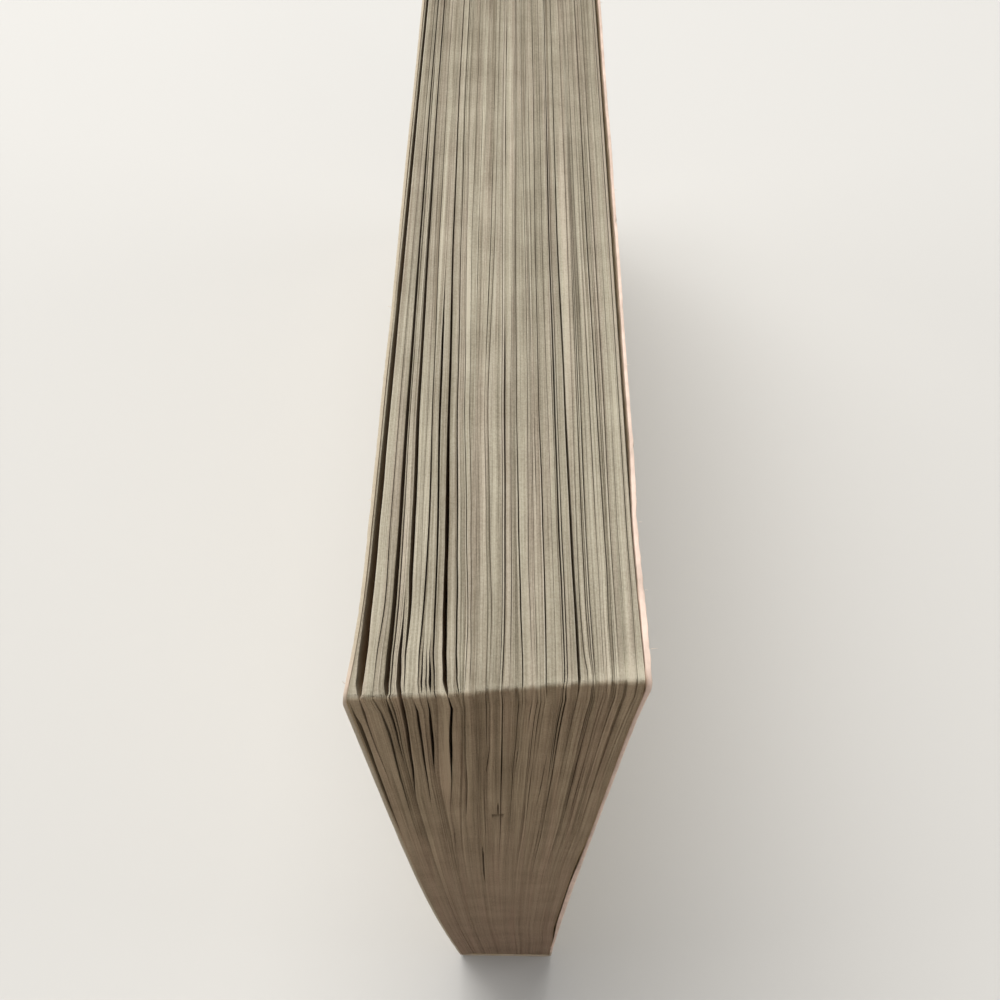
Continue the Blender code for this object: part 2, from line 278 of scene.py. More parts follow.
def drift(rng, run, rows, spacing, size):
    """Slow random change along the run, one column for each of the rows."""
    first = run.min() - spacing
    knots = rng.normal(0.0, size, (int((run.max() - first) / spacing) + 3, rows))
    place = (run - first) / spacing
    index = place.astype(int)
    share = smooth(place - index)[:, None]
    return knots[index] * (1.0 - share) + knots[index + 1] * share


def steps(*stretches):
    """Places in millimetres along stretches of (start, end, count), in metres."""
    places = [np.linspace(start, end, count, endpoint=False) for start, end, count in stretches]
    return np.concatenate(places) * MM


class EdgePath:
    """Stations along the leaves' free edges: up the tail, along the fore-edge, down the head."""

    CORNER_STEPS = 6
    NICK_LEVELS = (74.6, 74.95, 75.3, 75.65)

    def __init__(self):
        top = WIDTH - LEAF_CORNER
        levels = steps((LEAVES_LOW / MM, 58.0, 11), (58.0, top / MM, 22))
        self.levels = np.sort(np.concatenate((levels, np.array(self.NICK_LEVELS) * MM, [top])))
        self.end_count = len(self.levels)
        turn = np.append(np.zeros(self.end_count), np.linspace(0.0, math.pi / 2, self.CORNER_STEPS + 1)[1:])
        low = np.append(self.levels, np.full(self.CORNER_STEPS, top))
        end_y, end_z = LEAF_CORNER * (1 - np.cos(turn)), low + LEAF_CORNER * np.sin(turn)
        end_run = np.where(turn > 0.0, LEAF_CORNER * (4 * turn / math.pi - 1), low - WIDTH)
        fore = steps((0.5, 1.7, 4), (1.7, 5, 7), (5, 17, 12), (17, 50, 14), (50, 96, 13), (96, 174.6, 13))
        self.top_count = 2 * self.CORNER_STEPS + len(fore)
        flat = np.zeros(len(fore))
        self.y = np.concatenate((end_y - HALF_HEIGHT, fore - HALF_HEIGHT, HALF_HEIGHT - end_y[::-1]))
        self.z = np.concatenate((end_z, flat + WIDTH, end_z[::-1]))
        self.out_y = np.concatenate((-np.cos(turn), flat, np.cos(turn[::-1])))
        self.out_z = np.concatenate((np.sin(turn), flat + 1.0, np.sin(turn[::-1])))
        self.run = np.concatenate((end_run, fore, HEIGHT - end_run[::-1]))
        self.tail_corner = self.end_count + self.CORNER_STEPS // 2
        self.head_corner = len(self.y) - 1 - self.tail_corner


def leaves_before_gaps():
    """The last leaf before each open gap: the leaves are counted out by the groups' widths."""
    run = np.array([REFERENCE_RUN])
    front, back = (block_side(side, run[0] - HALF_HEIGHT, WIDTH) for side in SIDES)
    middles = np.array([along(places, run)[0] * PERCENT * (back - front) for places, widths in OPEN_GAPS])
    halves = np.array([along(widths, run)[0] * PERCENT * MM / 2 for places, widths in OPEN_GAPS])
    starts = np.concatenate(([0.0], middles + halves))
    ends = np.concatenate((middles - halves, [back - front]))
    paper = np.cumsum(ends - starts)
    counts = np.round(paper / paper[-1] * LEAVES).astype(int)[:-1]
    for i in range(1, len(counts)):
        counts[i] = max(counts[i], counts[i - 1] + 1)
    return list(counts - 1)


def clusters(rng, boundaries):
    """Cluster number of each leaf: leaves that cling together, in runs of one to six."""
    numbers = np.zeros(LEAVES, int)
    number, left = 0, 3
    for leaf in range(1, LEAVES):
        left -= 1
        if left == 0 or leaf - 1 in boundaries:
            number += 1
            left = rng.choice((1, 2, 3, 4, 5, 6), p=(0.12, 0.20, 0.22, 0.18, 0.16, 0.12))
        numbers[leaf] = number
    return numbers


def group_places(boundaries):
    """Place of each leaf in its group between two open gaps, from 0 to 1."""
    sizes = np.diff([-1, *boundaries, LEAVES - 1])
    return np.concatenate([(np.arange(size) + 0.5) / size for size in sizes])


def lay_leaves(rng, path, boundaries, thick, gaps):
    """X of each leaf's left and right point, and how far the gap after it is an open one.

    The leaves are laid from one open gap to the next.
    """
    start, end = (block_side(side, path.y, path.z) for side in SIDES)
    left, right = np.zeros(thick.shape), np.zeros(thick.shape)
    open_share = np.zeros(gaps.shape)
    group_start, first = start, 0
    for boundary, gap in zip(boundaries + [LEAVES - 1], OPEN_GAPS + (None,)):
        group_end = end
        if gap:
            places, widths = gap
            width = along(widths, path.run) * PERCENT * MM
            width = width * np.clip(1.0 + drift(rng, path.run, 1, *WANDER_OF_GAPS)[:, 0], 0.6, 1.4)
            width = np.maximum(width, LEAST_OPEN_GAP)
            middle = start + along(places, path.run) * PERCENT * (end - start)
            open_share[:, boundary] = smooth(width / FULL_DEPTH_WIDTH)
            group_end, next_start = middle - width / 2, middle + width / 2
        sizes = np.zeros((len(start), 2 * (boundary - first) + 1))
        sizes[:, 0::2] = thick[:, first:boundary + 1]
        sizes[:, 1::2] = gaps[:, first:boundary]
        edges = np.cumsum(sizes, axis=1)
        edges = edges / edges[:, -1:] * (group_end - group_start)[:, None] + group_start[:, None]
        right[:, first:boundary + 1] = edges[:, 0::2]
        left[:, first] = group_start
        left[:, first + 1:boundary + 1] = edges[:, 1::2]
        group_start, first = next_start, boundary + 1
    return left, right, open_share


def dented(left, path):
    """Where the nick and the scratches of the tail end are."""
    z = path.z[:, None] / MM
    marks = [(np.abs(left / MM - middle) < half) & (z > low) & (z < high)
             for middle, half, low, high in DENTS]
    return np.any(marks, axis=0) & (path.out_y[:, None] < -0.9)


def groove_feet(path, depth, open_share, shares, paper_shares):
    """Points at the feet of the grooves, and how deep each lies below the edge."""
    tail, head = path.tail_corner, path.head_corner
    y, z = path.y[:, None], path.z[:, None]
    on_end = np.abs(path.out_y[:, None]) > 0.9999
    on_fore = path.out_z[:, None] > 0.9999
    depth_y = depth + (END_GAP_DEPTH - depth) * open_share
    depth_z = depth + (FORE_GAP_DEPTH - depth) * open_share
    depth_y = np.where(on_end, depth_y, np.where(y < 0.0, depth_y[tail], depth_y[head]))
    depth_z = np.where(on_fore, depth_z, np.where(y < 0.0, depth_z[tail], depth_z[head]))
    foot_y = np.clip(y, -HALF_HEIGHT + depth_y, HALF_HEIGHT - depth_y)
    foot_z = np.minimum(z, WIDTH - depth_z)
    start, end = (block_side(side, foot_y, foot_z) for side in SIDES)
    closed = np.clip(np.where(on_end, depth_y / END_GAP_DEPTH, depth_z / FORE_GAP_DEPTH), 0.0, 1.0)
    foot_x = start + (shares + 0.5 * (paper_shares - shares) * closed) * (end - start)
    return np.stack((foot_x, foot_y, foot_z), axis=2), np.where(on_end, depth_y, depth_z)


def leaf_grid(path):
    """Points and paint of the leaves' edges: rows are stations, columns run across the leaves.

    Each leaf has a left and a right point on its edge, and a groove's foot lies between one
    leaf and the next.
    """
    rng = np.random.default_rng(SEED)
    run, y, z = path.run, path.y[:, None], path.z[:, None]
    out_y, out_z = path.out_y[:, None], path.out_z[:, None]
    full = np.ones((len(run), 1))
    boundaries = leaves_before_gaps()
    cluster = clusters(rng, boundaries)
    groups = cluster.max() + 1
    on_end = out_y ** 2
    near_corner = bell(run, CORNER_REACH)[:, None]
    front = smooth(1.2 - np.arange(LEAVES) / FRONT_LEAVES)
    back = smooth(1.0 - (BACK_LEAVES_FULL - np.arange(LEAVES)) / BACK_LEAVES)
    worn_place = (-0.05 - 0.30 * front + 0.90 * back) * MM
    worn_reach = (0.60 + 0.20 * front + 0.55 * back) * MM
    worn_lit_corner = bell(run[:, None] - worn_place, worn_reach)
    loose = smooth((z - LOOSE_FROM) / LOOSE_OVER)
    far = 1.0 - FAR_CALM * smooth((run - FAR_FROM) / FAR_REACH)[:, None]

    # Widths of the leaves and of the gaps between them, and the leaves' places
    between = np.diff(cluster) > 0
    strength = rng.uniform(0.25, 1.25, LEAVES - 1) ** 2
    strength *= 1.0 - 0.4 * front[1:]
    strength[:4] *= 0.3
    hair = np.where(between, HAIR_GAP, CLUSTER_GAP) * strength * far
    wander = np.clip(1.0 + drift(rng, run, LEAVES - 1, *WANDER_OF_HAIRS), 0.08, 3.0)
    gaps = hair * wander * (0.05 + 0.95 * loose) * (1.0 + 0.15 * on_end)
    gaps = np.maximum(gaps * (1.0 - 0.5 * near_corner), LEAST_GAP)
    thick = rng.uniform(0.85, 1.15, LEAVES) * LEAF_THICKNESS * full
    left, right, open_share = lay_leaves(rng, path, boundaries, thick, gaps)

    # How far each leaf's edge stands out or back
    out = drift(rng, run, groups, *CLUSTERS_OUT)[:, cluster] + drift(rng, run, LEAVES, *LEAVES_OUT)
    out = out * MM * (1.0 - 0.35 * on_end) * (0.2 + 0.8 * loose)
    out += drift(rng, run, groups, *CORNER_OUT)[:, cluster] * near_corner * MM
    scallop = SCALLOP * (2.0 * group_places(boundaries) - 1.0) ** 4 + FRONT_CORNER_WEAR * front
    out -= scallop * bell(run, SCALLOP_REACH)[:, None]
    dents = dented(left, path)
    out = out - DENT_DEPTH * dents - EDGE_RECESS * smooth(np.arange(LEAVES) / FLUSH_LEAVES)
    lean = rng.normal(0.0, 0.010, LEAVES) * MM

    # The points, with the grooves' feet between the leaves
    depth = np.where(between, 0.12 + 0.80 * strength, 0.14) * rng.uniform(0.6, 1.5, LEAVES - 1) * MM
    start, end = (block_side(side, y, z) for side in SIDES)
    shares = ((right[:, :-1] + left[:, 1:]) / 2 - start) / (end - start)
    paper_shares = np.cumsum(thick, axis=1)[:, :-1] / thick.sum(axis=1, keepdims=True)
    points = np.zeros((len(run), 3 * LEAVES - 1, 3))
    for column, x, stand in ((0, left, out + lean), (1, right, out - lean)):
        points[:, column::3] = np.stack((x, y + out_y * stand, z + out_z * stand), axis=2)
    points[:, 2::3], below = groove_feet(path, depth * full, open_share, shares, paper_shares)
    points[0, :, 2] = points[-1, :, 2] = LEAVES_LOW
    points[:, :, 1] += slip(*np.moveaxis(points, 2, 0))

    # The paint: tone, run, depth in a groove and share of the ends' painted shade tint. The tone holds
    # painted shade beside the grooves and towards the head, and a painted highlight on the worn corner
    tone = 0.5 + drift(rng, run, groups, *CLUSTER_TONES)[:, cluster] + drift(rng, run, LEAVES, *LEAF_TONES)
    tone += rng.normal(0.0, 0.10, LEAVES) + 0.12 * back - 0.14 * front * on_end
    # the worn corner of the tail is painted lighter: worn paper and a painted highlight where it turns to
    # the light
    tone = 0.5 + (tone - 0.5) * (0.45 + 0.55 * loose) + WORN_HIGHLIGHT_TONE * worn_lit_corner
    # painted shade darkens the leaves towards the head; the nick and the scratches are darker too
    tone -= FAR_SHADE * smooth((run - FAR_FROM) / FAR_SHADE_REACH)[:, None] + DENT_TONE * dents
    grooves = np.clip(between * strength, 0.0, 1.0)
    # painted shade beside each groove, less on the worn corner and towards the head
    groove_shade = GROOVE_SHADE * (0.2 + 0.8 * loose) * (1.0 - worn_lit_corner) * far
    paint = np.zeros((*points.shape[:2], 4))
    paint[:, 0::3, 0] = tone - groove_shade * np.append(0.0, grooves)
    paint[:, 1::3, 0] = tone - groove_shade * np.append(grooves, 0.0)
    paint[:, 2::3, 0] = (tone[:, :-1] + tone[:, 1:]) / 2
    paint[:, :, 1] = run[:, None]
    paint[:, 2::3, 2] = below
    paint[:, :, 3] = on_end
    return points, paint


def leaf_block():
    """All the leaves as one closed body: the comb of edges, both sides and the glued foot."""
    path = EdgePath()
    points, paint = leaf_grid(path)
    stations, columns = points.shape[:2]
    ends, tops = path.end_count, path.top_count
    verts, marks = points.reshape(-1, 3).tolist(), paint.reshape(-1, 4).tolist()
    rows = [range(s * columns, (s + 1) * columns) for s in range(stations)]
    comb = [face for row, following in zip(rows, rows[1:]) for face in strip(row, following)]
    plain = []
    top_y = path.y[ends:ends + tops]
    for side, column in ((FRONT, 0), (BACK, columns - 1)):
        grid = []
        for k, level in enumerate(path.levels):
            x = block_side(side, top_y, level) + page_wave(top_y, level) * min(k, 6) / 6
            inner = range(len(verts), len(verts) + tops)
            verts.extend(zip(x, top_y + slip(x, top_y, level), np.full(tops, level)))
            marks.extend([(0.5, 0.0, 0.0, 0.0)] * tops)
            grid.append([rows[k][column], *inner, rows[-1 - k][column]])
        for row, following in zip(grid, grid[1:]):
            plain += strip(row, following)
        rim = [row[column] for row in rows[ends:ends + tops]]
        last, foot = grid[-1], grid[0]
        plain += strip(last[1:-1], rim)
        plain += [(last[0], last[1], rim[0]), (last[-2], last[-1], rim[-1])]
        tail_next, head_next = (row[column - side] for row in (rows[0], rows[-1]))
        middle = len(foot) // 2
        for m in range(len(foot) - 1):
            plain.append((tail_next if m < middle else head_next, foot[m], foot[m + 1]))
        plain.append((tail_next, foot[middle], head_next))
    plain += strip(rows[0][1:-1], rows[-1][1:-1])

    mesh = bpy.data.meshes.new("leaves")
    mesh.from_pydata(verts, [], comb + plain)
    mesh.polygons.foreach_set("material_index", [0] * len(comb) + [1] * len(plain))
    paint_points(mesh, ("tone", "run", "depth", "end"), marks)
    bm = bmesh.new()
    bm.from_mesh(mesh)
    bmesh.ops.dissolve_degenerate(bm, dist=LEAST_GAP / 5, edges=bm.edges)
    return finished(bm, mesh, 40)


def strip(row, following):
    """Faces between one row of points and the next."""
    return [(row[i], row[i + 1], following[i + 1], following[i]) for i in range(len(row) - 1)]


def ring_faces(rings):
    """Faces between each closed ring of points and the next."""
    closed = [[*ring, ring[0]] for ring in rings]
    return [face for ring, following in zip(closed, closed[1:]) for face in strip(ring, following)]


def page_wave(y, z):
    """A slight wave of the outermost page, in metres."""
    wave = np.sin(y * 61.0 + z * 23.0) * 0.5 + np.sin(y * 24.0 - z * 71.0 + 1.3) * 0.5
    return wave * PAGE_WAVE


def paint_points(mesh, names, marks):
    """Stores the columns of the marks as values of the mesh's points."""
    marks = np.array(marks, np.float32).reshape(-1, len(names))
    for name, values in zip(names, marks.T):
        layer = mesh.attributes.new(name, "FLOAT", "POINT")
        layer.data.foreach_set("value", np.ascontiguousarray(values))


def place_object(data):
    thing = bpy.data.objects.new(data.name, data)
    bpy.context.scene.collection.objects.link(thing)
    return thing


def finished(bm, mesh, sharp_from=None):
    """The object of a closed mesh, smooth but for edges over an angle in degrees."""
    bmesh.ops.recalc_face_normals(bm, faces=bm.faces)
    bm.to_mesh(mesh)
    bm.free()
    mesh.shade_smooth()
    if sharp_from:
        mesh.set_sharp_from_angle(angle=math.radians(sharp_from))
    return place_object(mesh)


def closed_loft(name, sections, paints):
    """A closed body through sections with equal numbers of points. Each paint is 4 values a point."""
    sections = np.array(sections)
    count, size = sections.shape[:2]
    faces = ring_faces([range(s * size, (s + 1) * size) for s in range(count)])
    half = size // 2
    for base in (0, (count - 1) * size):
        for i in range(half - 1):
            faces.append((base + i, base + i + 1, base + size - 2 - i, base + size - 1 - i))
        if size % 2:
            faces.append((base + half - 1, base + half, base + half + 1))
    mesh = bpy.data.meshes.new(name)
    mesh.from_pydata(sections.reshape(-1, 3).tolist(), [], faces)
    paint_points(mesh, ("rim", "coated", "rub", "white_reflection"), paints)
    bm = bmesh.new()
    bm.from_mesh(mesh)
    return finished(bm, mesh, 60)


# The cover's card
SEAM_HEIGHT = 0.003  # the spine's card meets the panels' card here
RIM_SWELL = {FRONT: 0.0, BACK: 0.00033}  # the back cover's frayed rim is thicker on its inner side
END_SWELL = {FRONT: 0.0, BACK: 0.00006}
LOW_SWELL = {FRONT: 0.0, BACK: 0.00026}  # and on the tail's lower half
FRAY_LENGTH = 0.018
RIM_WHITE_REFLECTION = {FRONT: 0.0, BACK: 1.0}  # and raw white with a painted pink reflection, while the front cover's has browned with the leaves
RIM_REACH = 0.0006  # how far the worn rim reaches into the panel
STATION_STEP = 0.0005
COVER_CORNER = {FRONT: 0.0011, BACK: 0.0018}
RIM_GRAIN = 16  # stations between the knots of the rim's slow waver
RIM_WAVER = 0.00003
FRAYED_TAIL = 0.025  # the rim is most ragged over this length at the tail
DEEPEST_BITE = 0.0002
BARE_CORNER = 0.0020  # the front cover's rim is worn bare this far round the tail's corner, with the same painted pink reflection
CREASE_DEPTH = 0.00007  # the fold beside the spine is pressed in this far
CREASE_SPREAD = 0.0006
PANEL_WAVE = 0.00002
CUT_ROUND = 0.0002  # the cut ends of the card are rounded over this length
TORN_REACH = (0.0009, 0.0006)  # the torn rim reaches this far below the top and in from the ends
RUB_REACH = (0.006, 0.004)  # and the rubbed margin this far
READING_CREASES = ((-4.3, 0.07), (-1.6, 0.05), (1.1, 0.06), (3.9, 0.08))  # place and height in mm
READING_CREASE_WIDTH = 0.16


def cover_stations():
    middle = np.arange(-HALF_HEIGHT + 0.0006, HALF_HEIGHT - 0.0006, STATION_STEP)
    ends = np.array((0.0, 0.00007, 0.0002, 0.0004))
    return np.concatenate((-HALF_HEIGHT + ends, middle, HALF_HEIGHT - ends[::-1]))


def cover_levels():
    """Heights of the panel's rows, with close rows at the fold and at the fore-edge."""
    return steps((3, 5.6, 3), (5.6, 9.0, 9), (9.0, 19, 5), (19, 99, 34), (99, 104.6, 5),
                 (104.6, 105.85, 4))


def knotted(rng, count, grain):
    """Random values along a rim, straight between knots that lie a few places apart."""
    knots = np.arange(0, count + grain, grain)
    return np.interp(np.arange(count), knots, rng.normal(0.0, 1.0, len(knots)))


def ragged(rng, count, size, grain=3):
    """Uneven wear along a rim: small random steps with a few deeper bites."""
    fine = rng.normal(0.0, 1.0, count)
    slow = knotted(rng, count, grain)
    bites = np.clip(rng.normal(0.0, 1.0, count) - 2.1, 0.0, 1.0) * 3.0
    return -np.abs(0.35 * fine + 0.65 * slow + bites) * size


def cut_round(from_end, least):
    """Share of the card's thickness near its cut ends, rounded down to the least share."""
    full = math.sqrt(1.0 - max(1.0 - from_end / CUT_ROUND, 0.0) ** 2)
    return least + (1.0 - least) * full


def cover_panel(side, name, wear):
    """The card of one cover, from beside the spine over the fold up to its worn rim."""
    rng = np.random.default_rng(SEED + 5 + side)
    stations, levels = cover_stations(), cover_levels()
    top_wear = ragged(rng, len(stations), wear)
    tail_wear = ragged(rng, len(levels), 0.6 * wear, 4)
    head_wear = ragged(rng, len(levels), 0.6 * wear, 4)
    rim_shift = RIM_WAVER * knotted(rng, len(stations), RIM_GRAIN)
    frayed = 0.3 + 0.7 * bell(stations + HALF_HEIGHT, FRAYED_TAIL)
    bites = np.maximum(ragged(rng, len(stations), 1.4 * wear) * frayed, -DEEPEST_BITE)
    sections, paints = [], []
    for i, y in enumerate(stations):
        from_end = HALF_HEIGHT - abs(y)
        drop = corner_drop(y, COVER_CORNER[side])
        z = levels - drop * (levels / WIDTH) ** 40
        top_swell = RIM_SWELL[side] * near(WIDTH - z, 3 * RIM_REACH)
        low_swell = LOW_SWELL[side] * smooth((z - 0.014) / 0.012) * smooth((0.062 - z) / 0.016)
        end_swell = (END_SWELL[side] + low_swell) * near(from_end, RIM_REACH)
        swell = np.maximum(top_swell, end_swell) * bell(y + HALF_HEIGHT, FRAY_LENGTH)
        wave = PANEL_WAVE * np.sin(y * 37.0 + z * 11.0) * smooth((z - 0.010) / 0.03)
        crease = CREASE_DEPTH * bell(z - HINGE_HEIGHT, CREASE_SPREAD)
        centre = outer_face(side, y, z) + side * (wave - crease - (CARD + swell) / 2)
        centre = centre + rim_shift[i] * smooth((z - 0.1035) / 0.002)
        half = (CARD + swell) * cut_round(from_end, 0.45) / 2
        outer = centre + side * (half + bites[i] * smooth((z - 0.1048) / 0.0009))
        inner = centre - side * half
        move = np.sign(y) * (tail_wear if y < 0 else head_wear) * near(from_end, 0.0004)
        top_z = WIDTH - drop + top_wear[i] * 0.6
        top_x, top_half = (outer[-1] + inner[-1]) / 2, (outer[-1] - inner[-1]) / 2
        high = np.minimum(z, top_z - 0.00012)
        rows_x = np.concatenate((outer, top_x + top_half * np.array((0.7, 0.0, -0.7)), inner[::-1]))
        rows_z = np.concatenate((high, top_z - np.array((0.00005, 0.0, 0.00005)), high[::-1]))
        rows_y = y + np.concatenate((move, [move[-1]] * 3, move[::-1]))
        rows_y = rows_y + slip(rows_x, rows_y, rows_z)
        sections.append(np.stack((rows_x, rows_y, rows_z), axis=1))
        rim, rub = (np.maximum(near(top_z - rows_z, below), near(from_end, inwards))
                    for below, inwards in (TORN_REACH, RUB_REACH))
        coated = np.concatenate((np.ones(len(z)), (0.5, 0.0, 0.0), np.zeros(len(z))))
        from_corner = np.hypot(rows_y + HALF_HEIGHT, rows_z - WIDTH)
        white_reflection = np.maximum(RIM_WHITE_REFLECTION[side], 0.6 * bell(from_corner, BARE_CORNER))
        paints.append(np.stack((rim, coated, rub, white_reflection), axis=1))
    return closed_loft(name, sections, paints)


def spine_card():
    """The card round the spine, up to the seams on both sides, with the creases of reading."""
    turn = np.linspace(0.0, math.pi / 2, 7)
    arc = SPINE_CORNER * (1.0 - np.cos(turn[::-1]))
    side_z = np.concatenate((np.linspace(SEAM_HEIGHT, SPINE_CORNER, 5)[:-1], arc))
    sections, paints = [], []
    for y in cover_stations()[::2]:
        from_end = HALF_HEIGHT - abs(y)
        front, back = (np.stack((outer_face(side, y, side_z), side_z), axis=1) for side in SIDES)
        across = np.linspace(front[-1, 0], back[-1, 0], 62)[1:-1]
        lift = sum(size * MM * bell(across / MM - place, READING_CREASE_WIDTH)
                   for place, size in READING_CREASES)
        outline = np.concatenate((front, np.stack((across, lift), axis=1), back[::-1]))
        step = np.gradient(outline, axis=0)
        step[0], step[-1] = (0.0, -1.0), (0.0, 1.0)
        inward = np.stack((-step[:, 1], step[:, 0]), axis=1)
        inward /= np.linalg.norm(inward, axis=1, keepdims=True)
        gone = CARD * (1.0 - cut_round(from_end, 0.55)) / 2
        outer = outline + inward * gone
        inner = outline + inward * (CARD - gone)
        x, z = np.concatenate((outer, inner[::-1])).T
        sections.append(np.stack((x, y + slip(x, y, z), z), axis=1))
        rim, rub = (np.full(len(x), near(from_end, inwards)) for below, inwards in (TORN_REACH, RUB_REACH))
        coated = np.concatenate((np.ones(len(outer)), np.zeros(len(inner))))
        paints.append(np.stack((rim, coated, rub, 0.3 * rim), axis=1))
    return closed_loft("spine_card", sections, paints)


# The glue between the spine's card and the leaves
GLUE_LOW, GLUE_HIGH = CARD + 0.00002, LEAVES_LOW - 0.00001
GLUE_BULGE = 0.00006
GLUE_UNEVEN = 0.00010
GLUE_IN_SIDE = 0.00003
GLUE_IN_END = 0.00022


def glue_line():
    """The hot-melt layer between the spine's card and the leaves, uneven where it shows."""
    rng = np.random.default_rng(SEED + 31)
    across = np.linspace(-1.0, 1.0, 90)
    ooze = rng.normal(0.0, GLUE_UNEVEN, (2, len(across)))
    tail, head = (np.convolve(row, (0.25, 0.5, 0.25), mode="same") for row in ooze)
    x = across * (block_side(BACK, 0.0, 0.0016) - GLUE_IN_SIDE)
    levels = ((GLUE_LOW, 0.0), ((GLUE_LOW + GLUE_HIGH) / 2, GLUE_BULGE), (GLUE_HIGH, 0.0))
    bm = bmesh.new()
    rings = []
    for share in np.linspace(-1.0, 1.0, 12):
        rows = []
        for z, bulge in levels:
            uneven = ((tail if share < 0 else head) + bulge) * (abs(share) == 1.0)
            y = share * (HALF_HEIGHT - GLUE_IN_END + uneven)
            rows.append(np.stack((x, y + slip(x, y, z), np.full(len(x), z)), axis=1))
        low, middle, high = rows
        ring = np.concatenate((low, middle[-1:], high[::-1], middle[:1]))
        rings.append([bm.verts.new(point) for point in ring])
    for face in ring_faces(rings):
        bm.faces.new(face)
    for ring in (rings[0], rings[-1]):
        centre = bm.verts.new(sum((v.co for v in ring), Vector()) / len(ring))
        for i, point in enumerate(ring):
            bm.faces.new((point, ring[(i + 1) % len(ring)], centre))
    return finished(bm, bpy.data.meshes.new("glue_line"), 50)


# Loose fibres of the worn rims: place along the book and length in millimetres, and rise
FIBRES = {
    "front": ((-86.1, 0.32, 0.5), (-70, 0.30, 0.3), (-48, 0.35, 0.6), (12, 0.30, 0.4), (56, 0.34, 0.5)),
    "back": ((-84.6, 0.56, 0.35), (-79.5, 0.24, 0.5), (-73.1, 0.28, 0.2), (-56, 0.30, 0.6),
             (-31.5, 0.34, 0.4), (4, 0.30, 0.5), (39, 0.36, 0.3)),
}
FIBRE_RADIUS = 0.000028
FIBRE_RINGS = 6
FIBRE_SIDES = 5
FIBRE_BELOW_RIM = 0.00015
FIBRE_IN_CARD = 0.00008


def fibres(side, word):
    """The loose fibres of one rim: thin bent hairs that taper to a point."""
    rng = np.random.default_rng(SEED + 40 + side)
    bm = bmesh.new()
    z = WIDTH - FIBRE_BELOW_RIM
    for y, length, rise in FIBRES[word]:
        y = y * MM
        x = outer_face(side, y, z) - side * FIBRE_IN_CARD
        point = Vector((x, y + slip(x, y, z), z))
        heading = Vector((side, rng.uniform(-0.6, 0.6), rise)).normalized()
        bend = Vector(rng.uniform(-0.35, 0.35, 3))
        rings = []
        for k in range(FIBRE_RINGS + 1):
            across = heading.cross(Vector((0.3, 1.0, 0.2))).normalized()
            other = heading.cross(across).normalized()
            size = FIBRE_RADIUS * (1.0 - 0.75 * k / FIBRE_RINGS)
            turns = [2 * math.pi * a / FIBRE_SIDES for a in range(FIBRE_SIDES)]
            rings.append([bm.verts.new(point + (across * math.cos(turn) + other * math.sin(turn)) * size)
                          for turn in turns])
            point = point + heading * length * MM / FIBRE_RINGS
            heading = (heading + bend * 0.5).normalized()
        for face in (*ring_faces(rings), rings[0], rings[-1]):
            bm.faces.new(face)
    return finished(bm, bpy.data.meshes.new(f"{word}_rim_fibres"))


class Nodes:
    """Short calls for building the nodes of one material or of the world."""

    def __init__(self, owner):
        owner.use_nodes = True
        self.tree = owner.node_tree

    def put(self, socket, value):
        if isinstance(value, bpy.types.NodeSocket):
            self.tree.links.new(value, socket)
        else:
            socket.default_value = value

    def new(self, kind, inputs, output=0, **settings):
        """A new node's output, after its settings and its inputs are given."""
        node = self.tree.nodes.new("ShaderNode" + kind)
        for name, value in settings.items():
            setattr(node, name, value)
        for name, value in inputs.items():
            self.put(node.inputs[name], value)
        return node.outputs[output]

    def attribute(self, name):
        return self.new("Attribute", {}, "Fac", attribute_name=name)

    def position(self):
        return self.new("TexCoord", {}, "Object")

    def split(self, vector):
        return self.new("SeparateXYZ", {0: vector}).node.outputs

    def math(self, operation, a, b=0.0, clamp=False):
        return self.new("Math", {0: a, 1: b}, operation=operation, use_clamp=clamp)

    def plus(self, a, b, clamp=False):
        return self.math("ADD", a, b, clamp)

    def minus(self, a, b):
        return self.math("SUBTRACT", a, b)

    def times(self, a, b):
        return self.math("MULTIPLY", a, b)

    def noise(self, vector, scale, detail=2.0, roughness=0.5):
        inputs = {"Vector": vector, "Scale": scale, "Detail": detail, "Roughness": roughness}
        return self.new("TexNoise", inputs, "Fac")

    def streaks(self, places, scales, detail=2.0, roughness=0.5):
        """Noise stretched along the places. A fixed place only picks another part of it."""
        scaled = {axis: self.times(place, scale) for axis, (place, scale) in enumerate(zip(places, scales))}
        return self.noise(self.new("CombineXYZ", scaled), 1.0, detail, roughness)

    def spread(self, value, low, high, to_low=0.0, to_high=1.0):
        inputs = {"Value": value, "From Min": low, "From Max": high, "To Min": to_low, "To Max": to_high}
        return self.new("MapRange", inputs, "Result")

    def swing(self, noise, size):
        """A noise as values from -size to size."""
        return self.spread(noise, 0.3, 0.7, -size, size)

    def mix(self, factor, a, b, blend="MIX"):
        a, b = ((*color, 1.0) if isinstance(color, tuple) else color for color in (a, b))
        return self.new("Mix", {0: factor, 6: a, 7: b}, 2, data_type="RGBA", blend_type=blend)

    def clouded(self, noise, colors):
        """The first of two colours where a noise is low, and the second where it is high."""
        return self.mix(self.spread(noise, 0.3, 0.7), *colors)

    def seen(self):
        """1 for the rays that show the background: those of the camera, of gloss and of glass."""
        rays = self.new("LightPath", {}).node.outputs
        seen = self.math("MAXIMUM", rays["Is Camera Ray"], rays["Is Glossy Ray"])
        return self.math("MAXIMUM", seen, rays["Is Transmission Ray"])


class Finish(Nodes):
    """One material and its nodes."""

    def __init__(self, name, roughness, specular):
        self.material = bpy.data.materials.new(name)
        super().__init__(self.material)
        self.shader = self.tree.nodes["Principled BSDF"]
        self.give("Roughness", roughness)
        self.give("Specular IOR Level", specular)

    def give(self, name, value):
        self.put(self.shader.inputs[name], value)

    def color(self, value):
        self.give("Base Color", value)

    def bump(self, height, distance, strength):
        inputs = {"Strength": strength, "Distance": distance, "Height": height}
        self.give("Normal", self.new("Bump", inputs))


